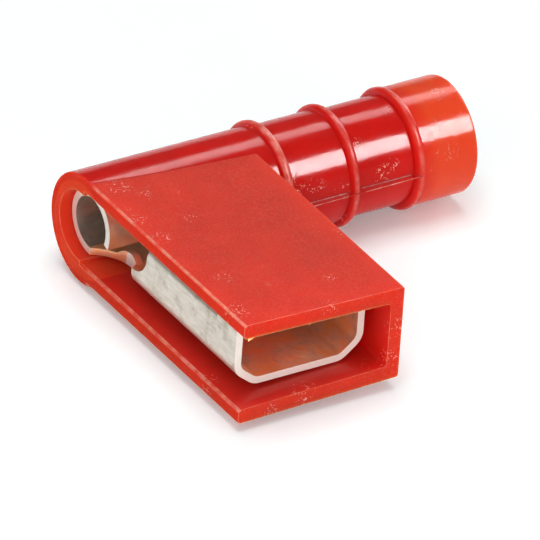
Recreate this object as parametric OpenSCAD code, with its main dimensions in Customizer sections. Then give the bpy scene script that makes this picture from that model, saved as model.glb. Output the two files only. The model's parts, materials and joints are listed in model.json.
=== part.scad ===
// Insulated flag receptacle for a flat tab, with its wire barrel at right angles to the tab.
// The tube axis runs along X, the tab goes in along +Y, and Z is up.
// Two pieces: a moulded insulator, and a stamped and rolled terminal that slides into it.

/* [Metal sheet] */
// Thickness of the sheet that the terminal is stamped from
sheet_t = 0.4; // [0.3:0.05:0.5]
// Inside radius of the sheet at its bends
bend_r = 0.65; // [0.2:0.05:0.8]

/* [Wire barrel] */
// Inside radius of the rolled barrel
barrel_bore_r = 1.47; // [1.2:0.05:1.8]
// Length of the rolled barrel
barrel_len = 16.8; // [15:0.2:18.5]
// Distance of the barrel's end from the open side of the sleeve
barrel_inset = 0.7; // [0.3:0.1:1.2]
// How far the barrel sits behind the axis of the tube
barrel_back = 0.25; // [0:0.05:0.4]
// Angle below level at which the rolled edge ends
barrel_edge_deg = 22; // [10:1:40]
// Width of the butt seam along the crimped length
seam_gap = 0.1; // [0.06:0.02:0.3]

/* [Receptacle] */
// Width of the tab that goes in
tab_w = 6.35; // [5:0.05:7]
// Thickness of the tab that goes in
tab_t = 0.8; // [0.5:0.1:1]
// Room on each side of the tab
tab_side_gap = 0.31; // [0.1:0.05:0.5]
// Room above the tab, under the curled rails
tab_top_gap = 0.05; // [0:0.05:0.3]
// Length of the side walls
box_len = 8.8; // [8:0.2:10]
// Radius of the sweep from the walls' rear edge down to the neck
sweep_r = 1.3; // [0.8:0.1:1.6]
// Width of the slanted corner between floor and wall
corner_w = 1.3; // [0.8:0.05:1.6]
// Height of the slanted corner between floor and wall
corner_h = 0.88; // [0.5:0.05:1]
// Outside radius of the curled rails where they press on the tab
rail_r = 1.15; // [1:0.05:1.3]
// Outside radius of the bend from side wall to rail
shoulder_r = 0.6; // [0.5:0.05:1.1]
// Flat top of each rail between its two bends
rail_flat = 1.1; // [0.3:0.05:1.2]
// How far the rails stop short of the front edge
rail_setback = 1.9; // [1.5:0.1:3]
// Height of the side walls in front of the rails
front_wall_h = 3.5; // [2.8:0.1:3.5]
// Radius of the lock dimple in the floor
dimple_r = 1.1; // [0.8:0.1:1.3]
// Height of the lock dimple
dimple_h = 0.22; // [0.1:0.02:0.35]
// Distance of the lock dimple from the front edge
dimple_back = 4.2; // [3.6:0.1:5]

/* [Neck] */
// How far the neck draws in from each side of the box
waist_in = 1.47; // [1:0.01:1.6]
// Room in the barrel beside the neck, where its edge is cut free
relief = 0.2; // [0.1:0.05:0.4]
// Height of the turned-up ears, from the underside of the sheet
ear_h = 0.76; // [0.6:0.02:1.1]
// Half the length of an ear along the neck
ear_half = 0.75; // [0.5:0.05:0.9]
// How far the ears stand off the narrowest place, towards the barrel
ear_shift = 0.35; // [0.1:0.05:0.6]

/* [Tube] */
// Length of the tube
tube_len = 22.3; // [20.5:0.1:25]
// Wall of the tube where it is thinnest around the barrel
tube_wall = 0.85; // [0.7:0.05:1.1]
// Running room around the barrel
barrel_gap = 0.1; // [0.05:0.05:0.2]
// How much smaller the tube is after the first ring
step_1 = 0.07; // [0:0.01:0.12]
// How much smaller the tube is after the second ring
step_2 = 0.16; // [0:0.01:0.2]
// How much larger the tube is after the third ring
flare = 0.1; // [0:0.01:0.15]
// Rounding of the tube's left end
end_round = 0.12; // [0.05:0.01:0.3]
// Rounding of the bell mouth
bell_round = 0.25; // [0.1:0.01:0.35]
// Radius of the wire entry
entry_r = 2.5; // [2.42:0.02:2.6]
// Length of the lead-in cone at the wire entry
lead_in = 0.6; // [0.3:0.1:1]
// Wall that is left at the mouth of the lead-in cone
lip = 0.45; // [0.35:0.05:0.6]

/* [Rings] */
// Distance of the first ring from the closed side of the sleeve
ring_1_off = 1.05; // [0.9:0.05:1.6]
// Distance from one ring to the next
ring_pitch = 4; // [3:0.05:4.2]
// Height of the rings
ring_h = 0.28; // [0.2:0.02:0.36]
// Width of the rings where they meet the tube
ring_w = 0.62; // [0.5:0.02:1.2]

/* [Sleeve] */
// Distance from the tube's axis to the mouth
sleeve_len = 15.8; // [15:0.1:17.5]
// Thickness of the two flat plates
plate_t = 0.8; // [0.6:0.05:1]
// Thickness of the closed side wall
side_t = 0.83; // [0.6:0.01:1]
// Angle by which each plate opens towards the open side
splay_deg = 1.5; // [0:0.1:2]
// How far the middle of the sleeve lies above the tube's axis
sleeve_rise = 0.12; // [0:0.02:0.2]
// Room between the terminal and the closed side wall
side_gap = 0.57; // [0.3:0.02:0.8]
// How far the terminal stands in from the open side
open_inset = 0.53; // [0.3:0.01:0.8]
// Room under the terminal
seat_gap = 0.03; // [0.02:0.01:0.1]
// Room above the rails
head_gap = 0.22; // [0.15:0.01:0.35]
// How far the terminal stands back from the mouth
mouth_recess = 1.5; // [1:0.1:2]
// Rounding of the mouth corner on the closed side
mouth_round = 0.15; // [0.1:0.05:0.9]
// Rounding of the sleeve's long outer edges
edge_round = 0.22; // [0.1:0.02:0.35]
// Rounding of the plates' free edges
tip_round = 0.12; // [0.05:0.01:0.2]

/* [Hidden] */
$fn = 96;
eps = 0.01;
far = 40;
bend_steps = 6;
curl_steps = 20;

barrel_r = barrel_bore_r + sheet_t;
box_w = tab_w + 2 * (tab_side_gap + sheet_t);
floor_half = box_w / 2 - corner_w;
rail_z = sheet_t + tab_t + tab_top_gap;
box_h = rail_z + 2 * rail_r;
shoulder_z = box_h - shoulder_r;

inner_h = box_h + seat_gap + head_gap;
sleeve_w = open_inset + box_w + side_gap + side_t;
inner_w = sleeve_w - side_t;
box_x = open_inset + box_w / 2;

floor_z = sleeve_rise - inner_h / 2 + seat_gap;
barrel_z = floor_z + barrel_r;
front_y = -(sleeve_len - mouth_recess);
rear_y = front_y + box_len;

seat_r = barrel_r + barrel_gap;
tube_r = seat_r + norm([barrel_back, barrel_z]) + tube_wall;
tube_r_1 = tube_r - step_1;
tube_r_2 = tube_r - step_2;
bell_r = tube_r + flare;
ring_1_x = sleeve_w + ring_1_off;
ring_2_x = ring_1_x + ring_pitch;
ring_3_x = ring_2_x + ring_pitch;
crest_r = tube_r + ring_h;
barrel_end_x = barrel_inset + barrel_len;
entry_x = barrel_end_x + 0.4;

// The neck is the strip between barrel and box, drawn in on both sides by one round cut.
neck_x0 = barrel_inset;
neck_x1 = 2 * box_x - barrel_inset;
wall_foot_y = rear_y + sweep_r;
waist_y0 = wall_foot_y + 0.08;
waist_y1 = barrel_back - 0.03;
neck_half = (waist_y1 - waist_y0) / 2;
neck_y = (waist_y1 + waist_y0) / 2;
waist_r = (neck_half * neck_half + waist_in * waist_in) / (2 * waist_in);
waist_off = box_w / 2 - waist_in + waist_r;
ear_rise = ear_h - sheet_t;
ear_r = (ear_rise * ear_rise + ear_half * ear_half) / (2 * ear_rise);

// Points on an arc from angle a0 to angle a1
function arc(c, r, a0, a1, steps) =
    [for (i = [0:steps]) c + r * [cos(a0 + (a1 - a0) * i / steps), sin(a0 + (a1 - a0) * i / steps)]];

function unit(v) = v / norm(v);
function turn_left(v) = [-v[1], v[0]];
function cross_z(a, b) = a[0] * b[1] - a[1] * b[0];

// The corner at b, on the way from a to c, rounded with radius r
function rounded(a, b, c, r, steps) =
    let (
        u = unit(a - b),
        w = unit(c - b),
        half = acos(u * w) / 2,
        m = b + unit(u + w) * r / sin(half),
        p0 = b + u * r / tan(half),
        p1 = b + w * r / tan(half),
        a0 = atan2(p0[1] - m[1], p0[0] - m[0]),
        side = cross_z(u, w) > 0 ? -1 : 1
    )
    arc(m, r, a0, a0 + side * (180 - 2 * half), steps);

// A closed outline whose corners each have their own radius
function round_outline(pts, radii, steps) =
    let (n = len(pts))
    [for (i = [0:n - 1])
        for (p = rounded(pts[(i + n - 1) % n], pts[i], pts[(i + 1) % n], radii[i], steps)) p];

// Outline of a sheet of thickness t that follows a path through its middle
function side_point(path, i, d) =
    let (
        n = len(path),
        before = i > 0 ? unit(path[i] - path[i - 1]) : unit(path[1] - path[0]),
        after = i < n - 1 ? unit(path[i + 1] - path[i]) : before,
        middle = unit(before + after)
    )
    path[i] + turn_left(middle) * d / (middle * after);
function sheet_outline(path, t) =
    let (n = len(path))
    concat(
        [for (i = [0:n - 1]) side_point(path, i, t / 2)],
        [for (i = [n - 1:-1:0]) side_point(path, i, -t / 2)]);

// Half of the receptacle's section, from the middle of its floor outwards, with z from its underside
mid = sheet_t / 2;
wall_mid_x = box_w / 2 - mid;
function half_section_foot() =
    concat(
        [[0, mid]],
        rounded([0, mid], [floor_half, mid], [wall_mid_x, corner_h + mid], bend_r + mid, bend_steps),
        rounded([floor_half, mid], [wall_mid_x, corner_h + mid], [wall_mid_x, box_h], bend_r + mid, bend_steps));
function half_section_plain(h) = concat(half_section_foot(), [[wall_mid_x, h]]);
function half_section_railed() =
    let (
        top_x = box_w / 2 - shoulder_r,
        curl_x = top_x - rail_flat
    )
    concat(
        half_section_foot(),
        arc([top_x, shoulder_z], shoulder_r - mid, 0, 90, curl_steps / 2),
        arc([curl_x, box_h - rail_r], rail_r - mid, 90, 255, curl_steps));

// The whole section: the half path, and its mirror image on the other side of the middle
module bent_sheet(half) {
    mirrored = [for (i = [len(half) - 1:-1:1]) [-half[i][0], half[i][1]]];
    polygon(sheet_outline(concat(mirrored, half), sheet_t));
}

// A cylinder along X from x0 to x1, about a line at y and z
module bar_x(r, x0, x1, y = 0, z = 0) {
    translate([x0, y, z]) rotate([0, 90, 0]) cylinder(r = r, h = x1 - x0);
}

// A flat outline in x and z, extruded along Y from y0 to y1
module along_y(y0, y1) {
    translate([0, y1, 0]) rotate([90, 0, 0]) linear_extrude(height = y1 - y0) children();
}

// One ring: the crown of a torus that stands out of the tube
module ring(x, r, w) {
    crown_r = (ring_h * ring_h + w * w / 4) / (2 * ring_h);
    translate([x, 0, 0]) rotate([0, 90, 0])
        rotate_extrude()
            translate([r + ring_h - crown_r, 0]) circle(r = crown_r, $fn = 48);
}

// The tube's outside, turned about its axis
module tube_outside() {
    rotate([0, 90, 0])
        rotate_extrude()
            polygon(concat(
                [[0, 0]],
                rounded([0, 0], [tube_r, 0], [tube_r, ring_1_x], end_round, bend_steps),
                [[tube_r, ring_1_x], [tube_r_1, ring_1_x], [tube_r_1, ring_2_x],
                 [tube_r_2, ring_2_x], [tube_r_2, ring_3_x], [bell_r, ring_3_x]],
                rounded([bell_r, ring_3_x], [bell_r, tube_len], [0, tube_len], bell_round, bend_steps),
                [[0, tube_len]]));
    ring(ring_1_x, tube_r, ring_w);
    ring(ring_2_x, tube_r_1, ring_w);
    ring(ring_3_x, tube_r_1, ring_w);
}

// The hole through the tube: the barrel's seat about the barrel's own axis, the wire entry and its lead-in
module tube_hole() {
    bar_x(seat_r, -1, entry_x + eps, barrel_back, barrel_z);
    bar_x(entry_r, entry_x, tube_len - lead_in + eps);
    translate([tube_len - lead_in, 0, 0]) rotate([0, 90, 0])
        cylinder(r1 = entry_r, r2 = 2 * (bell_r - lip) - entry_r, h = 2 * lead_in);
}

// The flat sleeve's outline in x and z: its plates open away from each other by the splay angle
splay = tan(splay_deg);
half_in = inner_h / 2;
half_out = half_in + plate_t;
module sleeve_outline() {
    open_z = half_out + sleeve_w * splay;
    translate([0, sleeve_rise])
        polygon(round_outline(
            [[0, -open_z], [sleeve_w, -half_out], [sleeve_w, half_out], [0, open_z]],
            [tip_round, edge_round, edge_round, tip_round],
            bend_steps));
}

// The space between the plates, which runs out of the open side and into the tube
module sleeve_space() {
    open_z = half_in + (inner_w - tip_round) * splay;
    out_z = half_in + (inner_w + 1) * splay + tip_round;
    translate([0, sleeve_rise])
        polygon(concat(
            [[-1, -out_z], [0, -open_z - tip_round], [tip_round, -open_z]],
            rounded([0, -open_z], [inner_w, -half_in], [inner_w, 0], edge_round, bend_steps),
            rounded([inner_w, 0], [inner_w, half_in], [0, open_z], edge_round, bend_steps),
            [[tip_round, open_z], [0, open_z + tip_round], [-1, out_z]]));
}

// The sleeve's outside, with its rounded mouth corner
module sleeve_outside() {
    intersection() {
        along_y(-sleeve_len, 0) sleeve_outline();
        translate([0, 0, -far / 2]) linear_extrude(height = far)
            polygon(concat(
                [[-1, 1], [-1, -sleeve_len - 1], [0, -sleeve_len - 1], [0, -sleeve_len]],
                rounded([0, -sleeve_len], [sleeve_w, -sleeve_len], [sleeve_w, 0], mouth_round, bend_steps),
                [[sleeve_w, -sleeve_len / 2], [sleeve_w + 1, -sleeve_len / 2], [sleeve_w + 1, 1]]));
    }
}

module insulator_housing() {
    color("#D23A28")
    difference() {
        union() {
            tube_outside();
            sleeve_outside();
        }
        tube_hole();
        along_y(-far, 0) sleeve_space();
    }
}

// The side walls' rear edge: it sweeps down from the top of the wall to the neck
module rear_cut() {
    top_z = floor_z + shoulder_z;
    bar_x(sweep_r, -1, far, wall_foot_y, top_z);
    translate([-1, wall_foot_y, top_z - sweep_r]) cube([far, far, far]);
}

// The round cut on each side that draws the neck in
module waist_cuts() {
    for (x = [box_x - waist_off, box_x + waist_off])
        translate([x, neck_y, floor_z - 1]) cylinder(r = waist_r, h = far);
}

// The box: floor, slanted corners, side walls and curled rails
module receptacle() {
    translate([box_x, 0, floor_z]) {
        along_y(front_y, front_y + rail_setback) bent_sheet(half_section_plain(front_wall_h));
        along_y(front_y + rail_setback, rear_y) bent_sheet(half_section_railed());
        along_y(rear_y, neck_y) bent_sheet(half_section_plain(shoulder_z));
    }
    translate([box_x, front_y + dimple_back, floor_z]) lock_dimple();
}

// A shallow crown on the floor, flat on top, that snaps into the tab's hole
module lock_dimple() {
    crown_h = dimple_h + 0.04;
    crown_r = (crown_h * crown_h + dimple_r * dimple_r) / (2 * crown_h);
    intersection() {
        translate([0, 0, sheet_t + crown_h - crown_r]) sphere(r = crown_r);
        translate([0, 0, mid]) cylinder(r = dimple_r + 0.1, h = mid + dimple_h);
    }
}

// The flat strip under the barrel, and its two ears
module neck() {
    translate([neck_x0, neck_y - eps, floor_z])
        cube([neck_x1 - neck_x0, barrel_back - neck_y + eps, sheet_t]);
}

module ears() {
    for (x = [box_x - waist_off, box_x + waist_off])
        intersection() {
            difference() {
                translate([x, neck_y, floor_z]) cylinder(r = waist_r + sheet_t, h = ear_h + 1);
                translate([x, neck_y, floor_z - 1]) cylinder(r = waist_r, h = ear_h + 2);
            }
            bar_x(ear_r, neck_x0, neck_x1, neck_y + ear_shift, floor_z + ear_h - ear_r);
        }
}

// The rolled barrel. Over the neck its edge stops above the strip, and past it the edges butt.
module barrel() {
    difference() {
        bar_x(barrel_r, barrel_inset, barrel_end_x, barrel_back, barrel_z);
        bar_x(barrel_bore_r, barrel_inset - 1, barrel_end_x + 1, barrel_back, barrel_z);
        translate([0, barrel_back, barrel_z]) {
            wedge(neck_x1 + relief, 90);
            wedge(barrel_end_x + 1, barrel_edge_deg + seam_gap / barrel_r * 180 / PI);
        }
    }
}

// What is missing of the barrel between its rolled edge and a second angle below level, up to x1
module wedge(x1, end_deg) {
    reach = 3 * barrel_r;
    x0 = barrel_inset - 1;
    translate([x0, 0, 0]) rotate([90, 0, 90])
        linear_extrude(height = x1 - x0)
            polygon([[0, 0], -reach * [cos(barrel_edge_deg), sin(barrel_edge_deg)],
                     -reach * [cos(end_deg), sin(end_deg)]]);
}

module terminal() {
    color("#D6CEC2")
    union() {
        barrel();
        difference() {
            union() {
                receptacle();
                neck();
            }
            rear_cut();
            waist_cuts();
        }
        ears();
    }
}

// The part stands on its rings, with the origin under the middle of its box
module placed() {
    translate([-tube_len / 2, (sleeve_len - crest_r) / 2, crest_r]) children();
}

placed() insulator_housing();
placed() terminal();
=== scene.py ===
"""Insulated flag receptacle terminal: the looks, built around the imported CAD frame.

Sizes in the panel are in metres, as in the frame. Patterns work in millimetres from the tube's left end.
"""

import json
import math

import bmesh
import bpy
from mathutils import Matrix, Vector
from mathutils.bvhtree import BVHTree

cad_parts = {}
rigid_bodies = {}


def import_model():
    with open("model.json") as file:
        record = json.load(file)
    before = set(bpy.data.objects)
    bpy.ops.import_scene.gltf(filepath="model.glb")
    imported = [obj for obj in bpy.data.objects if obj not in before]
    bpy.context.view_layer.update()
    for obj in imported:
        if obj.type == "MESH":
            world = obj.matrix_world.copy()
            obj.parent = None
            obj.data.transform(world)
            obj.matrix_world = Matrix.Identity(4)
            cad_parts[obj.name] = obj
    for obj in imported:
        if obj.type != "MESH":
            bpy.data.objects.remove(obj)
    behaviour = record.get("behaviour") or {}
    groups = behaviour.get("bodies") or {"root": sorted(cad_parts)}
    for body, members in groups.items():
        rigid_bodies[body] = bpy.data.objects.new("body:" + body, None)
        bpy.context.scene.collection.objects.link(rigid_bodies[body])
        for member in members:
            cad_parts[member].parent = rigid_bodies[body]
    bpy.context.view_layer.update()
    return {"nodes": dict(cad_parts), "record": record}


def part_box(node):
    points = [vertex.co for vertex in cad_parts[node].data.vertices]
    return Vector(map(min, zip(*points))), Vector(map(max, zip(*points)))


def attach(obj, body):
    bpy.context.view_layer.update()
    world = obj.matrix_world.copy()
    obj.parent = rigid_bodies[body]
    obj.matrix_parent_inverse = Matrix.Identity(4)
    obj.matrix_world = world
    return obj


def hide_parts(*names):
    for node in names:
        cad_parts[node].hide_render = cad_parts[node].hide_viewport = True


bl_info = {
    "name": "Insulated Flag Receptacle",
    "version": (1, 0, 0),
    "blender": (4, 5, 0),
    "location": "3D View > Sidebar > Flag Receptacle",
    "description": "Dresses the insulator and the stamped terminal of a flag receptacle",
    "category": "Add Mesh",
}

MM = 0.001

for leftover in list(bpy.data.objects):
    bpy.data.objects.remove(leftover)
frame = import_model()
HOUSING_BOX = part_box("insulator_housing")

# The wire entry's axis is the tube's axis, and the box's left side is the tube's left end.
ENTRY = next(m for m in frame["record"]["mounts"] if m["name"] == "wire_entry")
TUBE_ORIGIN = Vector((HOUSING_BOX[0].x, ENTRY["pos_m"][1], ENTRY["pos_m"][2]))
TUBE_LEN = (HOUSING_BOX[1].x - HOUSING_BOX[0].x) / MM
MOUTH_Y = (HOUSING_BOX[0].y - TUBE_ORIGIN.y) / MM

# Sizes of the CAD that the patterns follow, in millimetres from the tube's origin
SLEEVE_W = 9.7
TUBE_R = 3.097
FIRST_RING_X = 10.75
RING_PITCH = 4.0
THIRD_RING_X = 18.75
PARTING_Z = 0.12
PLATE_INSIDE = 2.32
PLATE_EDGES = (3.07, 2.25, -2.01, -2.83)
TUBE_SKIN = (2.90, 3.21)
BOX_MID = Vector((4.43, 0, 0.2))
BOX_BACK = -5.5
LEFT_WALL = 1.3
RIGHT_WALL = 7.5
LOW_CORNER = -1
BARREL_MID = Vector((0, 0.25, 0.12))
BARREL_SKIN = 1.65

# Cosines that tell which way a face looks
SQUARE_ON = 0.98
ROUND_THE_TUBE = 0.99
INTO_THE_BOX = 0.2
RAIL_FRONT = -0.3
BARREL_UNDER = -0.7

# How a CAD node's triangles are joined, and which of its edges are rounded
SAME_POINT = 2e-6
SAME_PLANE = math.radians(0.4)
SHARP_EDGE = math.radians(32)

# Metres, clear of the part on every side
OUTSIDE = 0.03

# The photo's width in pixels, the focal length that fits it, and the camera's sensor in millimetres
PHOTO_W = 540
FOCAL_PX = 16876.15
SENSOR_W = 36

# The seen paper's own light near the part, and the metres over which it turns to plain white
PAPER_GLOW = 0.22
PAPER_NEAR = 0.04
PAPER_FAR = 0.12

# Kinds of node that the materials use most
MATH = "ShaderNodeMath"
RANGE = "ShaderNodeMapRange"
NOISE = "ShaderNodeTexNoise"
MIX = "ShaderNodeMix"
VECTOR = "ShaderNodeVectorMath"


def colour(text):
    """Linear colour, with alpha, of an sRGB hex value."""
    parts = [int(text[i:i + 2], 16) / 255 for i in (1, 3, 5)]
    return [c / 12.92 if c <= 0.04045 else ((c + 0.055) / 1.055) ** 2.4 for c in parts] + [1.0]


class InsulatorSettings(bpy.types.PropertyGroup):
    edge_round: bpy.props.FloatProperty(
        name="Edge round", description="Rounding of the moulded edges", default=0.00007, subtype="DISTANCE")
    tube_red: bpy.props.FloatVectorProperty(
        name="Tube red", description="Colour of the polished tube", size=4, subtype="COLOR",
        default=colour("#CA1B16"))
    plate_red: bpy.props.FloatVectorProperty(
        name="Plate red", description="Colour of the textured plates and cut faces", size=4, subtype="COLOR",
        default=colour("#D52B12"))
    inner_red: bpy.props.FloatVectorProperty(
        name="Inner red", description="Colour of the polished inner faces", size=4, subtype="COLOR",
        default=colour("#CE281E"))
    # Painted light: the bell is more orange than the tube, for the light that comes through its thin wall
    # where no metal lies behind it.
    bell_orange: bpy.props.FloatVectorProperty(
        name="Bell orange", description="Colour of the thin bell mouth", size=4, subtype="COLOR",
        default=colour("#F24C28"))
    # Colour of the scuffs and of the pale worn edges; on the edges it is also painted highlight.
    scuff_and_sheen_pink: bpy.props.FloatVectorProperty(
        name="Scuff pink", description="Colour of the small scuffs", size=4, subtype="COLOR",
        default=colour("#FFD0BC"))
    grain: bpy.props.FloatProperty(
        name="Texture grain", description="Grain of the textured plates", default=0.00012, subtype="DISTANCE")
    ridge: bpy.props.FloatProperty(
        name="Parting ridge", description="Half width of the parting line's ridge", default=0.00002,
        subtype="DISTANCE")


class TerminalSettings(bpy.types.PropertyGroup):
    edge_round: bpy.props.FloatProperty(
        name="Edge round", description="Rounding of the sheared edges", default=0.00009, subtype="DISTANCE")
    tin: bpy.props.FloatVectorProperty(
        name="Tin", description="Colour of the tin plate", size=4, subtype="COLOR", default=colour("#DFD7CC"))
    stain: bpy.props.FloatVectorProperty(
        name="Stain", description="Colour of the dull stains in the tin plate", size=4, subtype="COLOR",
        default=colour("#B0A696"))
    # Painted highlight: the cut edges are rubbed bright, and this colour paints them paler still.
    bright: bpy.props.FloatVectorProperty(
        name="Cut edge", description="Colour of the rubbed edges", size=4, subtype="COLOR",
        default=colour("#F6EEE4"))
    # Painted reflection: not a thinner plating, but a warm colour that stands in for the orange glow of the
    # nylon around the box and the barrel.
    glow_reflection_tint: bpy.props.FloatVectorProperty(
        name="Thin tin", description="Colour of the thin plating in the box and around the barrel", size=4,
        subtype="COLOR", default=colour("#FFB070"))


class StageSettings(bpy.types.PropertyGroup):
    azimuth: bpy.props.FloatProperty(
        name="Azimuth", description="Where the camera stands, from the mouth's side",
        default=math.radians(-33.84), subtype="ANGLE")
    elevation: bpy.props.FloatProperty(
        name="Elevation", description="How far the camera looks down", default=math.radians(31.65),
        subtype="ANGLE")
    roll: bpy.props.FloatProperty(
        name="Roll", description="Turn of the camera about its own axis", default=0.0747, subtype="ANGLE")
    distance: bpy.props.FloatProperty(
        name="Distance", description="How far the camera stands back from the tube's origin",
        default=0.8711053, subtype="DISTANCE")
    across: bpy.props.FloatProperty(
        name="Across", description="How far the tube's origin lies right of the view's middle",
        default=-0.00972439, subtype="DISTANCE")
    above: bpy.props.FloatProperty(
        name="Above", description="How far the tube's origin lies above the view's middle",
        default=0.00204538, subtype="DISTANCE")
    lens: bpy.props.FloatProperty(
        name="Lens", description="Focal length in millimetres", default=SENSOR_W * FOCAL_PX / PHOTO_W,
        unit="CAMERA")
    room_light: bpy.props.FloatProperty(
        name="Room light", description="Strength of the dim room around the lamps", default=0.15,
        subtype="FACTOR")
    paper: bpy.props.FloatVectorProperty(
        name="Paper", description="Colour of the paper that the part lies on, as seen", size=4,
        subtype="COLOR", default=colour("#F2FAFA"))
    paper_bounce: bpy.props.FloatVectorProperty(
        name="Paper bounce", description="Colour of the paper where its light falls on the part", size=4,
        subtype="COLOR", default=colour("#FAFAFA"))


def add(tree, kind, inputs=(), **settings):
    """Adds a node, sets its attributes, and fills its inputs with values or with other nodes' outputs."""
    made = tree.nodes.new(kind)
    for name, value in settings.items():
        setattr(made, name, value)
    for key, value in dict(inputs).items():
        if isinstance(value, bpy.types.Node):
            value = next(socket for socket in value.outputs if socket.enabled)
        if isinstance(value, bpy.types.NodeSocket):
            tree.links.new(value, made.inputs[key])
        else:
            made.inputs[key].default_value = value
    return made


def new_material(name):
    made = bpy.data.materials.new(name)
    made.use_nodes = True
    made.node_tree.nodes.clear()
    return made, made.node_tree


def off_level(tree, value, level):
    """How far a value is from a level, above or below."""
    off = add(tree, MATH, {0: value, 1: level}, operation="SUBTRACT")
    return add(tree, MATH, {0: off}, operation="ABSOLUTE")


def tube_place(tree):
    """Object coordinates in millimetres, from the left end of the tube's axis."""
    coords = add(tree, "ShaderNodeTexCoord")
    return add(tree, "ShaderNodeMapping",
               {"Vector": coords.outputs["Object"], "Location": [-c / MM for c in TUBE_ORIGIN],
                "Scale": (1 / MM,) * 3})


# Clusters of scuffs, placed from the photo, in millimetres from the tube's origin: place and reach
SCUFFS = [
    ((1.2, -1.4, 3.1), 0.9), ((2.1, -2.6, 3.0), 0.6), ((0.5, -4.5, 3.05), 0.6), ((0.6, -6.5, 3.05), 0.7),
    ((3.0, -5.5, 3.0), 0.5), ((1.5, -11.2, 3.0), 0.6), ((0.4, -14.2, 3.05), 0.9), ((6.5, -13.5, 2.9), 0.5),
    ((5.2, -15.8, 2.7), 0.6), ((9.3, -15.8, -1.5), 1.0), ((9.2, -15.8, 0.5), 0.7), ((4.0, -15.6, -2.1), 0.9),
    ((2.0, -15.8, -2.6), 0.6), ((0.2, -12.5, -2.4), 0.8), ((11.2, -2.8, 1.3), 0.8), ((12.4, -2.8, 0.9), 0.7),
    ((14.0, -2.9, 0.4), 0.6), ((16.6, -2.8, 0.6), 0.7), ((19.9, -2.3, 2.2), 0.6), ((20.6, -3.0, 1.0), 0.6),
    ((21.0, -0.6, 3.1), 0.6), ((15.4, -1.9, 2.3), 0.4), ((17.2, -2.9, 1.0), 0.5),
]


def scuff_mask(tree, place):
    """Small light squiggles, in clusters at the places that the photo shows and a few elsewhere."""
    stray = add(tree, NOISE, {"Vector": place, "Scale": 0.45})
    near = add(tree, RANGE, {"Value": stray, "From Min": 0.66, "From Max": 0.74, "To Max": 0.8})
    for spot, reach in SCUFFS:
        far = add(tree, VECTOR, {0: place, 1: spot}, operation="DISTANCE").outputs["Value"]
        close = add(tree, RANGE, {"Value": far, "From Min": reach, "From Max": 0.4 * reach})
        near = add(tree, MATH, {0: near, 1: close}, operation="MAXIMUM")
    # Hairs of about 0.05 mm: thin bands of one noise, broken up by another
    bands = add(tree, NOISE, {"Vector": place, "Scale": 3.2, "Detail": 2.0})
    off_band = off_level(tree, bands, 0.5)
    hairs = add(tree, RANGE, {"Value": off_band, "From Min": 0.024, "From Max": 0.008})
    breaks = add(tree, NOISE, {"Vector": place, "Scale": 5.5, "Detail": 1.0})
    broken = add(tree, RANGE, {"Value": breaks, "From Min": 0.50, "From Max": 0.56})
    flecks = add(tree, MATH, {0: hairs, 1: broken}, operation="MULTIPLY")
    return add(tree, MATH, {0: near, 1: flecks}, operation="MULTIPLY")


def edge_lines(tree, x, y, z):
    """The moulded edges whose rounding is in the CAD: the plates' free edges and the tube's left end. Along
    them the nylon wears pale and is painted paler still as painted highlight.
    """
    lines = None
    for level in PLATE_EDGES:
        line = add(tree, RANGE, {"Value": off_level(tree, z, level), "From Min": 0.13, "From Max": 0.08})
        lines = line if lines is None else add(tree, MATH, {0: lines, 1: line}, operation="MAXIMUM")
    below = add(tree, RANGE, {"Value": y, "From Min": -0.6, "From Max": -0.9})
    lines = add(tree, MATH, {0: lines, 1: below}, operation="MULTIPLY")
    near_end = add(tree, RANGE, {"Value": x, "From Min": 0.14, "From Max": 0.11})
    return add(tree, MATH, {0: lines, 1: near_end}, operation="MULTIPLY")


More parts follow.
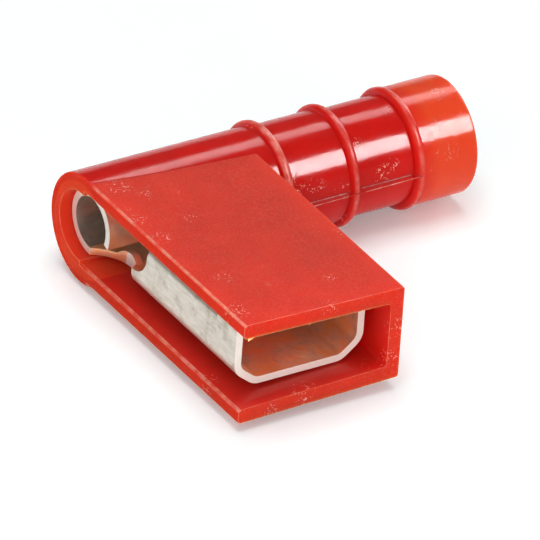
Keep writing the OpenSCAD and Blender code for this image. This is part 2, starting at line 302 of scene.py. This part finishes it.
def moulded_nylon(settings, wear_and_sheen):
    """Nylon 6/6, injection moulded. The tube and the inner faces are polished, and light goes into them and
    comes out orange where the wall is thin; the bell and the bore are also painted orange, as painted light
    for that glow. The outer and cut faces have a spark texture and look satin and paler, with their grain's
    peaks painted paler as painted glints. The second kind is for the rounded edges, which wear pale and are
    painted paler still as painted highlight."""
    made, tree = new_material("moulded_nylon_edge_wear_and_sheen" if wear_and_sheen else "moulded_nylon")
    place = tube_place(tree)
    x, y, z = add(tree, "ShaderNodeSeparateXYZ", {0: place}).outputs
    across = add(tree, "ShaderNodeCombineXYZ", {1: y, 2: z})
    off_axis = add(tree, VECTOR, {0: across}, operation="LENGTH").outputs["Value"]

    # Where the surface is: on the plates' outside and the cut ends, or on the inner faces
    off_tube = add(tree, RANGE, {"Value": off_axis, "From Min": TUBE_R + 0.012, "From Max": TUBE_R + 0.03})
    left_part = add(tree, RANGE, {"Value": x, "From Min": SLEEVE_W + 0.05, "From Max": SLEEVE_W + 0.01})
    plate = add(tree, MATH, {0: off_tube, 1: left_part}, operation="MULTIPLY")
    end_face = add(tree, RANGE, {"Value": x, "From Min": 0.10, "From Max": 0.05})
    plate = add(tree, MATH, {0: plate, 1: end_face}, operation="MAXIMUM")
    off_middle = off_level(tree, z, PARTING_Z)
    inside = add(tree, RANGE,
                 {"Value": off_middle, "From Min": PLATE_INSIDE + 0.03, "From Max": PLATE_INSIDE})
    limits = [(y, -1.1, -1.3), (y, MOUTH_Y + 0.05, MOUTH_Y + 0.09), (x, SLEEVE_W - 0.2, SLEEVE_W - 0.3)]
    for value, low, high in limits:
        limit = add(tree, RANGE, {"Value": value, "From Min": low, "From Max": high})
        inside = add(tree, MATH, {0: inside, 1: limit}, operation="MULTIPLY")
    bore = add(tree, RANGE, {"Value": off_axis, "From Min": 2.75, "From Max": 2.65})
    inside = add(tree, MATH, {0: inside, 1: bore}, operation="MAXIMUM")
    past_end = add(tree, RANGE, {"Value": x, "From Min": 0.05, "From Max": 0.12})
    inside = add(tree, MATH, {0: inside, 1: past_end}, operation="MULTIPLY")
    outside = add(tree, MATH, {0: 1.0, 1: inside}, operation="SUBTRACT")
    plate = add(tree, MATH, {0: plate, 1: outside}, operation="MULTIPLY")
    bell = add(tree, RANGE, {"Value": x, "From Min": THIRD_RING_X - 0.3, "From Max": THIRD_RING_X + 1.2})

    # Painted light: the bell is coloured orange for the light through its thin wall.
    base = add(tree, MIX, {0: bell, 6: settings.tube_red, 7: settings.bell_orange}, data_type="RGBA")
    base = add(tree, MIX, {0: plate, 6: base, 7: settings.plate_red}, data_type="RGBA")
    base = add(tree, MIX, {0: inside, 6: base, 7: settings.inner_red}, data_type="RGBA")
    # Painted light: the bore's wall at the left end is tinted towards the bell's orange, for the light that
    # comes through it.
    lit_bore = add(tree, MATH, {0: bore, 1: 0.55}, operation="MULTIPLY")
    base = add(tree, MIX, {0: lit_bore, 6: base, 7: settings.bell_orange}, data_type="RGBA")
    cloud = add(tree, NOISE, {"Vector": place, "Scale": 0.5, "Detail": 3.0})
    shade = add(tree, RANGE,
                {"Value": cloud, "From Min": 0.3, "From Max": 0.7, "To Min": 0.92, "To Max": 1.06})
    shades = add(tree, "ShaderNodeCombineXYZ", {0: shade, 1: shade, 2: shade})
    base = add(tree, MIX, {0: 1.0, 6: base, 7: shades}, data_type="RGBA", blend_type="MULTIPLY")

    # Spark texture of 0.12 mm grain, whose peaks are painted a little paler, as painted glints
    grain = add(tree, NOISE, {"Vector": place, "Scale": 1.1 * MM / settings.grain, "Detail": 2.0})
    grain_glints = add(tree, RANGE, {"Value": grain, "From Min": 0.48, "From Max": 0.72, "To Max": 0.13})
    plate_glints = add(tree, MATH, {0: plate, 1: grain_glints}, operation="MULTIPLY")
    base = add(tree, MIX, {0: plate_glints, 6: base, 7: colour("#F08A70")}, data_type="RGBA")

    scuffs = scuff_mask(tree, place)
    # Pale wear in patches along the edges and the ring crests; on the edges it is also painted highlight.
    rub_and_sheen = add(tree, NOISE, {"Vector": place, "Scale": 1.5, "Detail": 4.0, "Roughness": 0.6})
    least, most = (0.2, 0.65) if wear_and_sheen else (0.1, 0.4)
    rub_and_sheen = add(tree, RANGE,
              {"Value": rub_and_sheen, "From Min": 0.40, "From Max": 0.62, "To Min": least, "To Max": most})
    if wear_and_sheen:
        # The edges beside the rings are hollows, which are not rubbed
        ring_step = add(tree, MATH, {0: x, 1: FIRST_RING_X - RING_PITCH / 2}, operation="SUBTRACT")
        ring_step = add(tree, MATH, {0: ring_step, 1: RING_PITCH}, operation="FLOORED_MODULO")
        off_ring = off_level(tree, ring_step, RING_PITCH / 2)
        clear = add(tree, RANGE, {"Value": off_ring, "From Min": 0.45, "From Max": 0.6})
        clear = add(tree, MATH, {0: clear, 1: left_part}, operation="MAXIMUM")
        rub_and_sheen = add(tree, MATH, {0: rub_and_sheen, 1: clear}, operation="MULTIPLY")
    else:
        lines = edge_lines(tree, x, y, z)
        crest = add(tree, RANGE, {"Value": off_axis, "From Min": TUBE_R + 0.16, "From Max": TUBE_R + 0.24})
        crest = add(tree, MATH, {0: crest, 1: left_part}, operation="SUBTRACT")
        lines = add(tree, MATH, {0: lines, 1: crest}, operation="MAXIMUM")
        rub_and_sheen = add(tree, MATH, {0: rub_and_sheen, 1: lines}, operation="MULTIPLY")
    # The pale marks: scuffs, and the worn edges with their painted highlight.
    scuffs = add(tree, MATH, {0: scuffs, 1: rub_and_sheen}, operation="MAXIMUM")
    pale = add(tree, MATH, {0: scuffs, 1: 0.8}, operation="MULTIPLY")
    base = add(tree, MIX, {0: pale, 6: base, 7: settings.scuff_and_sheen_pink}, data_type="RGBA")

    # Chosen, not measured: 0.12 for the polish and 0.22 more for the inner faces. The plates are
    # set rougher than a spark texture's usual 0.5, so that the lamps leave no pale veil on them.
    rough = add(tree, RANGE, {"Value": plate, "To Min": 0.12, "To Max": 0.75})
    rough = add(tree, MATH, {0: inside, 1: 0.22, 2: rough}, operation="MULTIPLY_ADD")
    smear = add(tree, NOISE, {"Vector": place, "Scale": 2.5, "Detail": 4.0, "Roughness": 0.6})
    smear = add(tree, RANGE, {"Value": smear, "From Min": 0.42, "From Max": 0.66, "To Max": 0.10})
    rough = add(tree, MATH, {0: rough, 1: smear}, operation="ADD")
    rough = add(tree, MATH, {0: scuffs, 1: 0.25, 2: rough}, operation="MULTIPLY_ADD")

    # Texture up to 18 micrometres deep on the plates, and the polish's slow waves all over
    height = add(tree, MATH, {0: grain, 1: plate}, operation="MULTIPLY")
    height = add(tree, MATH, {0: height, 1: 0.018}, operation="MULTIPLY")
    waves = add(tree, NOISE, {"Vector": place, "Scale": 1.3})
    height = add(tree, MATH, {0: waves, 1: 0.012, 2: height}, operation="MULTIPLY_ADD")
    height = add(tree, MATH, {0: scuffs, 1: 0.010, 2: height}, operation="MULTIPLY_ADD")
    bump = add(tree, "ShaderNodeBump", {"Strength": 1.0, "Distance": MM, "Height": height})

    # Light goes deeper in the plates and the bell than in the tube, which holds metal. The specular
    # level is below nylon's usual 0.5, because the photo shows little haze outside the streaks.
    thin = add(tree, MATH, {0: plate, 1: inside}, operation="MAXIMUM")
    thin = add(tree, MATH, {0: thin, 1: bell}, operation="MAXIMUM")
    depth = add(tree, RANGE, {"Value": thin, "To Min": 0.0015, "To Max": 0.0036})
    shader = add(tree, "ShaderNodeBsdfPrincipled",
                 {"Base Color": base, "Roughness": rough, "IOR": 1.53, "Normal": bump,
                  "Specular IOR Level": 0.1, "Subsurface Weight": 1.0, "Subsurface Radius": (1.0, 0.25, 0.12),
                  "Subsurface Scale": depth})
    add(tree, "ShaderNodeOutputMaterial", {"Surface": shader})
    return made


def tinned_brass(settings, kind):
    """Cold-rolled brass strip with a matt tin plate: satin, with dull stains and fine rolling lines.
    The cut edges are rubbed bright, and their colour is painted paler still as painted highlight. The thin
    kind is a warmer colour, for the box and around the barrel, that stands in for the orange light that the
    photo shows there and that may come through the red nylon."""
    made, tree = new_material("tinned_brass" if kind == "plated" else "tinned_brass_" + kind)
    place = tube_place(tree)
    rolled = add(tree, "ShaderNodeMapping", {"Vector": place, "Scale": (1.0, 0.16, 1.0)})
    patches = add(tree, NOISE, {"Vector": place, "Scale": 0.9, "Detail": 5.0, "Roughness": 0.6})
    stain = add(tree, RANGE, {"Value": patches, "From Min": 0.5, "From Max": 0.72})
    streaks = add(tree, NOISE, {"Vector": rolled, "Scale": 7.0, "Detail": 3.0, "Roughness": 0.6})
    base = add(tree, MIX, {0: stain, 6: settings.tin, 7: settings.stain}, data_type="RGBA")
    lines = add(tree, RANGE, {"Value": streaks, "From Min": 0.35, "From Max": 0.7, "To Max": 0.35})
    base = add(tree, MIX, {0: lines, 6: base, 7: settings.stain}, data_type="RGBA")
    # Painted highlight: the cut edges are painted almost white.
    if kind == "cut_edge":
        base = add(tree, MIX, {0: 0.85, 6: base, 7: settings.bright}, data_type="RGBA")
    # Painted reflection: the warm colour stands in for the nylon's orange glow, in patches.
    if kind == "thin":
        glow_reflection_patches = add(tree, RANGE,
                       {"Value": patches, "From Min": 0.35, "From Max": 0.65, "To Min": 0.95, "To Max": 0.4})
        base = add(tree, MIX, {0: glow_reflection_patches, 6: base, 7: settings.glow_reflection_tint}, data_type="RGBA")
    rough = add(tree, RANGE,
                {"Value": streaks, "From Min": 0.3, "From Max": 0.7, "To Min": 0.34, "To Max": 0.5})
    rough = add(tree, MATH, {0: stain, 1: 0.1, 2: rough}, operation="MULTIPLY_ADD")
    # The cut edges and the thin kind are made less metallic, so that they scatter part of the light
    metal = {"plated": 1.0, "cut_edge": 0.25, "thin": 0.6}[kind]
    # Rolling lines and plating grain, a few micrometres deep
    plating = add(tree, NOISE, {"Vector": place, "Scale": 9.0, "Detail": 2.0})
    height = add(tree, MATH, {0: streaks, 1: 0.004}, operation="MULTIPLY")
    height = add(tree, MATH, {0: plating, 1: 0.002, 2: height}, operation="MULTIPLY_ADD")
    bump = add(tree, "ShaderNodeBump", {"Strength": 1.0, "Distance": MM, "Height": height})
    shader = add(tree, "ShaderNodeBsdfPrincipled",
                 {"Base Color": base, "Metallic": metal, "Roughness": rough, "Normal": bump})
    add(tree, "ShaderNodeOutputMaterial", {"Surface": shader})
    return made


def rounded_copy(node, name, edge_round, materials):
    """A copy of a CAD node with its loose triangles joined, its flats made whole and its edges rounded.
    The rounded edges take the second material."""
    made = frame["nodes"][node].copy()
    made.data = made.data.copy()
    made.name = name
    for key in list(made.keys()):
        del made[key]
    made.parent = None
    bpy.context.scene.collection.objects.link(made)
    shape = bmesh.new()
    shape.from_mesh(made.data)
    bmesh.ops.remove_doubles(shape, verts=shape.verts, dist=SAME_POINT)
    bmesh.ops.dissolve_limit(shape, angle_limit=SAME_PLANE, verts=shape.verts, edges=shape.edges)
    shape.to_mesh(made.data)
    shape.free()
    for layer in list(made.data.uv_layers):
        made.data.uv_layers.remove(layer)
    if made.data.has_custom_normals:
        with bpy.context.temp_override(object=made, active_object=made, selected_objects=[made]):
            bpy.ops.mesh.customdata_custom_splitnormals_clear()
    made.data.materials.clear()
    for material in materials:
        made.data.materials.append(material)
    made.data.polygons.foreach_set("material_index", [0] * len(made.data.polygons))
    made.data.shade_smooth()
    bevel = made.modifiers.new("Edge round", "BEVEL")
    bevel.width = edge_round
    bevel.segments = 2
    bevel.limit_method = "ANGLE"
    bevel.angle_limit = SHARP_EDGE
    bevel.use_clamp_overlap = True
    bevel.material = 1
    # The large faces set the normals, so that a reflection runs straight up to an edge.
    weighted = made.modifiers.new("Weighted normals", "WEIGHTED_NORMAL")
    weighted.mode = "FACE_AREA"
    weighted.weight = 50
    return made


def polish_tube(mesh):
    """Gives the tube's skin the exact normals of a round tube, so that the streaks run straight along it."""
    normals = [Vector(corner.vector) for corner in mesh.corner_normals]
    for face in mesh.polygons:
        middle = face.center - TUBE_ORIGIN
        radial = Vector((0, middle.y, middle.z))
        in_skin = TUBE_SKIN[0] < radial.length / MM < TUBE_SKIN[1]
        if not in_skin or face.normal.dot(radial.normalized()) < ROUND_THE_TUBE:
            continue
        for index in face.loop_indices:
            place = mesh.vertices[mesh.loops[index].vertex_index].co - TUBE_ORIGIN
            normals[index] = Vector((0, place.y, place.z)).normalized()
    mesh.normals_split_custom_set(normals)


def mark_faces(mesh):
    """The cut faces, the box's front and the barrel's ends, take the second material. The faces that look
    into the box, the rails' fronts and the barrel's outside take the third, whose warm colour is painted
    light:
    painted reflection of the nylon's orange glow, and on the rails' fronts painted shade."""
    for face in mesh.polygons:
        place = (face.center - TUBE_ORIGIN) / MM
        box = place.y < BOX_BACK
        right = place.x > RIGHT_WALL and place.z > LOW_CORNER
        rail = LEFT_WALL < place.x < RIGHT_WALL and place.z > 0
        front = face.normal.y < -SQUARE_ON
        if box:
            warm = face.normal.dot(Vector((BOX_MID.x, place.y, BOX_MID.z)) - place) > INTO_THE_BOX
        else:
            warm = (place - BARREL_MID).yz.length > BARREL_SKIN and face.normal.z > BARREL_UNDER
        if box and front and not rail and not right:
            face.material_index = 1
        elif not box and abs(face.normal.x) > SQUARE_ON:
            face.material_index = 1
        # Painted shade: the rails' fronts and the right wall's front take the third material in place of lit
        # tin.
        elif box and (rail and face.normal.y < RAIL_FRONT or right and front):
            face.material_index = 2
        # Painted reflection: faces that look into the box, and the barrel's outside, take the third material
        # for the orange glow of the nylon around them.
        elif face.material_index == 0 and warm:
            face.material_index = 2


def settle(piece):
    """Makes the piece the plain mesh that its modifiers leave."""
    graph = bpy.context.evaluated_depsgraph_get()
    mesh = bpy.data.meshes.new_from_object(piece.evaluated_get(graph), depsgraph=graph)
    piece.modifiers.clear()
    piece.data = mesh
    mesh.name = piece.name


class FLAG_OT_insulator(bpy.types.Operator):
    """Rounds the moulded insulator's edges and gives it its nylon"""

    bl_idname = "flag.insulator"
    bl_label = "Insulator"

    def execute(self, context):
        settings = context.scene.flag_insulator
        nylon = moulded_nylon(settings, False)
        wear_and_sheen = moulded_nylon(settings, True)
        piece = rounded_copy("insulator_housing", "insulator", settings.edge_round, [nylon, wear_and_sheen])
        settle(piece)
        polish_tube(piece.data)
        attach(piece, "root")
        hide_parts("insulator_housing")
        return {"FINISHED"}


def parting_tree(material):
    """Sweeps a small ridge along the edges that it is given."""
    tree = bpy.data.node_groups.new("Parting ridge", "GeometryNodeTree")
    tree.interface.new_socket("Geometry", in_out="INPUT", socket_type="NodeSocketGeometry")
    tree.interface.new_socket("Half width", in_out="INPUT", socket_type="NodeSocketFloat")
    tree.interface.new_socket("Geometry", in_out="OUTPUT", socket_type="NodeSocketGeometry")
    given = add(tree, "NodeGroupInput")
    path = add(tree, "GeometryNodeMeshToCurve", {"Mesh": given.outputs["Geometry"]})
    profile = add(tree, "GeometryNodeCurvePrimitiveCircle",
                  {"Resolution": 8, "Radius": given.outputs["Half width"]})
    ridge = add(tree, "GeometryNodeCurveToMesh",
                {"Curve": path, "Profile Curve": profile, "Fill Caps": True})
    real = add(tree, "GeometryNodeRealizeInstances", {0: ridge})
    done = add(tree, "GeometryNodeSetMaterial", {"Geometry": real, "Material": material})
    add(tree, "NodeGroupOutput", {"Geometry": done})
    return tree


def steps(low, high, size=0.1):
    """Even steps of about one size, with both ends."""
    count = max(2, round((high - low) / size))
    return [low + (high - low) * i / count for i in range(count + 1)]


class FLAG_OT_parting_line(bpy.types.Operator):
    """Lays the fine ridge that the mould's two halves leave along the tube and the closed side"""

    bl_idname = "flag.parting_line"
    bl_label = "Parting line"

    def execute(self, context):
        settings = context.scene.flag_insulator
        source = frame["nodes"]["insulator_housing"].data
        skin = BVHTree.FromPolygons(
            [v.co for v in source.vertices], [p.vertices[:] for p in source.polygons])
        height = TUBE_ORIGIN.z + PARTING_Z * MM
        # On the rings' crowns the ridge lies flush, so that it stays within the part's width.
        back_limit = HOUSING_BOX[1].y - settings.ridge
        front = [x * MM + TUBE_ORIGIN.x for x in steps(SLEEVE_W + 0.3, THIRD_RING_X)]
        back = [x * MM + TUBE_ORIGIN.x for x in steps(0.3, TUBE_LEN - 0.3)]
        side = [y * MM + TUBE_ORIGIN.y for y in steps(MOUTH_Y + 0.7, -3.3)]
        runs = [
            [((x, -OUTSIDE, height), (0, 1, 0)) for x in front],
            [((x, OUTSIDE, height), (0, -1, 0)) for x in back],
            [((OUTSIDE, y, height), (-1, 0, 0)) for y in side],
        ]
        shape = bmesh.new()
        for run in runs:
            last = None
            for start, way in run:
                hit = skin.ray_cast(Vector(start), Vector(way))[0]
                if hit is None:
                    raise RuntimeError("the parting line missed the insulator")
                vert = shape.verts.new((hit.x, min(hit.y, back_limit), hit.z))
                if last is not None:
                    shape.edges.new((last, vert))
                last = vert
        mesh = bpy.data.meshes.new("parting_line")
        shape.to_mesh(mesh)
        shape.free()
        piece = bpy.data.objects.new("parting_line", mesh)
        context.scene.collection.objects.link(piece)
        sweep = piece.modifiers.new("Sweep", "NODES")
        # The ridge takes the rounded edges' material, pale with wear and with painted highlight.
        sweep.node_group = parting_tree(bpy.data.materials["moulded_nylon_edge_wear_and_sheen"])
        for item in sweep.node_group.interface.items_tree:
            if item.name == "Half width":
                sweep[item.identifier] = settings.ridge
        settle(piece)
        piece.data.shade_smooth()
        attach(piece, "root")
        return {"FINISHED"}


class FLAG_OT_terminal(bpy.types.Operator):
    """Rounds the stamped terminal's sheared edges and gives it its tin plate"""

    bl_idname = "flag.terminal"
    bl_label = "Terminal"

    def execute(self, context):
        settings = context.scene.flag_terminal
        kinds = [tinned_brass(settings, kind) for kind in ("plated", "cut_edge", "thin")]
        piece = rounded_copy("terminal", "stamped_terminal", settings.edge_round, kinds)
        settle(piece)
        mark_faces(piece.data)
        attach(piece, "root")
        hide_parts("terminal")
        return {"FINISHED"}


def studio_paper(settings):
    """A sweep of white paper. The camera and gloss see it white: far away by its own light, and near the part
    by the lamps and a weak light of its own, so that the part's shadow shows. The part is lit only by what
    the paper reflects, in its bounce colour."""
    made, tree = new_material("studio_paper")
    path = add(tree, "ShaderNodeLightPath")
    seen = add(tree, MATH, {0: path.outputs["Is Glossy Ray"], 1: path.outputs["Is Transmission Ray"]},
               operation="MAXIMUM")
    seen = add(tree, MATH, {0: seen, 1: path.outputs["Is Camera Ray"]}, operation="MAXIMUM")
    paper = add(tree, MIX, {0: seen, 6: settings.paper_bounce, 7: settings.paper}, data_type="RGBA")
    paper = add(tree, "ShaderNodeBsdfDiffuse", {"Color": paper})
    coords = add(tree, "ShaderNodeTexCoord")
    from_part = add(tree, VECTOR, {0: coords.outputs["Object"]}, operation="LENGTH").outputs["Value"]
    far = add(tree, RANGE, {"Value": from_part, "From Min": PAPER_NEAR, "From Max": PAPER_FAR})
    far = add(tree, MATH, {0: far, 1: seen}, operation="MULTIPLY")
    white = add(tree, "ShaderNodeEmission", {"Color": (1, 1, 1, 1), "Strength": 1.0})
    glow = add(tree, MATH, {0: seen, 1: PAPER_GLOW}, operation="MULTIPLY")
    glow = add(tree, "ShaderNodeEmission", {"Color": (1, 1, 1, 1), "Strength": glow})
    near = add(tree, "ShaderNodeAddShader", {0: paper, 1: glow})
    both = add(tree, "ShaderNodeMixShader", {0: far, 1: near, 2: white})
    add(tree, "ShaderNodeOutputMaterial", {"Surface": both})
    return made


# Each lamp: its direction from the part, its distance, its width and length in metres, and its radiance,
# all chosen. The strips are left out of diffuse light, and make the two streaks along the tube.
LAMPS = {
    "strip_behind": ((0.471, 0.452, 0.759), 0.25, 0.074, 0.30, 12.5),
    "strip_front": ((0.471, -0.618, 0.630), 0.25, 0.110, 0.06, 78.0),
    "softbox_above": ((-0.06, 0.02, 1.00), 0.35, 0.24, 0.24, 4.1),
    "softbox_left": ((-0.70, -0.50, 0.51), 0.40, 0.30, 0.30, 1.8),
    "softbox_front": ((-0.04, -0.98, 0.17), 0.40, 0.12, 0.16, 8.0),
    "softbox_right": ((0.88, 0.44, 0.16), 0.35, 0.18, 0.18, 4.2),
}


def lamp(name, way, away, width, length, radiance):
    """A rectangular lamp that faces the part, with its length along the tube."""
    data = bpy.data.lights.new(name, "AREA")
    data.shape = "RECTANGLE"
    data.size = length
    data.size_y = width
    data.energy = radiance * math.pi * width * length
    made = bpy.data.objects.new(name, data)
    made.visible_diffuse = not name.startswith("strip")
    bpy.context.scene.collection.objects.link(made)
    way = Vector(way).normalized()
    side = way.cross(Vector((1, 0, 0))).normalized()
    along = side.cross(way)
    made.matrix_world = Matrix((
        (along.x, side.x, way.x, way.x * away), (along.y, side.y, way.y, way.y * away),
        (along.z, side.z, way.z, way.z * away), (0, 0, 0, 1)))


def sweep_mesh():
    """Flat paper that turns up in a low rim three metres away."""
    shape = bmesh.new()
    last = None
    for radius, height in ((0.15, 0), (3.0, 0), (3.4, 0.12), (3.5, 0.5)):
        ring = [shape.verts.new((radius * math.cos(a), radius * math.sin(a), height))
                for a in (math.tau * i / 64 for i in range(64))]
        if last is None:
            shape.faces.new(ring)
        else:
            for i in range(64):
                shape.faces.new((last[i - 1], ring[i - 1], ring[i], last[i]))
        last = ring
    mesh = bpy.data.meshes.new("floor")
    shape.to_mesh(mesh)
    shape.free()
    return mesh


class FLAG_OT_stage(bpy.types.Operator):
    """Sets the floor, the lamps and the camera of the photo"""

    bl_idname = "flag.stage"
    bl_label = "Stage"

    def execute(self, context):
        settings = context.scene.flag_stage
        scene = context.scene
        a, e, roll = settings.azimuth, settings.elevation, settings.roll
        back = Vector((math.sin(a) * math.cos(e), -math.cos(a) * math.cos(e), math.sin(e)))
        level = Vector((0, 0, 1)).cross(back).normalized()
        over = back.cross(level)
        right = math.cos(roll) * level + math.sin(roll) * over
        up = -math.sin(roll) * level + math.cos(roll) * over
        eye = TUBE_ORIGIN - settings.across * right - settings.above * up + settings.distance * back
        data = bpy.data.cameras.new("camera")
        data.lens = settings.lens
        data.sensor_width = SENSOR_W
        data.clip_start = 0.01
        data.clip_end = 20
        camera = bpy.data.objects.new("camera", data)
        camera.matrix_world = Matrix((
            (right.x, up.x, back.x, eye.x), (right.y, up.y, back.y, eye.y),
            (right.z, up.z, back.z, eye.z), (0, 0, 0, 1)))
        scene.collection.objects.link(camera)
        scene.camera = camera

        floor = bpy.data.objects.new("floor", sweep_mesh())
        floor.data.materials.append(studio_paper(settings))
        scene.collection.objects.link(floor)
        for name, values in LAMPS.items():
            lamp(name, *values)

        world = bpy.data.worlds.new("studio")
        scene.world = world
        world.use_nodes = True
        world.node_tree.nodes.clear()
        room = add(world.node_tree, "ShaderNodeBackground",
                   {"Color": (1, 1, 1, 1), "Strength": settings.room_light})
        add(world.node_tree, "ShaderNodeOutputWorld", {"Surface": room})
        scene.view_settings.view_transform = "Standard"
        return {"FINISHED"}


class FLAG_PT_panel(bpy.types.Panel):
    bl_label = "Flag Receptacle"
    bl_idname = "FLAG_PT_panel"
    bl_space_type = "VIEW_3D"
    bl_region_type = "UI"
    bl_category = "Flag Receptacle"

    def draw(self, context):
        for group, operators in PANEL_ROWS:
            box = self.layout.box()
            settings = getattr(context.scene, group)
            for name in settings.__annotations__:
                box.prop(settings, name)
            for operator in operators:
                box.operator(operator)


PANEL_ROWS = [
    ("flag_insulator", ["flag.insulator", "flag.parting_line"]),
    ("flag_terminal", ["flag.terminal"]),
    ("flag_stage", ["flag.stage"]),
]
GROUPS = {"flag_insulator": InsulatorSettings, "flag_terminal": TerminalSettings, "flag_stage": StageSettings}
CLASSES = [*GROUPS.values(), FLAG_OT_insulator, FLAG_OT_parting_line, FLAG_OT_terminal, FLAG_OT_stage,
           FLAG_PT_panel]


def register():
    for cls in CLASSES:
        bpy.utils.register_class(cls)
    for name, group in GROUPS.items():
        setattr(bpy.types.Scene, name, bpy.props.PointerProperty(type=group))


def unregister():
    for name in GROUPS:
        delattr(bpy.types.Scene, name)
    for cls in reversed(CLASSES):
        bpy.utils.unregister_class(cls)


def main():
    register()
    bpy.ops.flag.stage()
    bpy.ops.flag.insulator()
    bpy.ops.flag.parting_line()
    bpy.ops.flag.terminal()


if __name__ == "__main__":
    main()
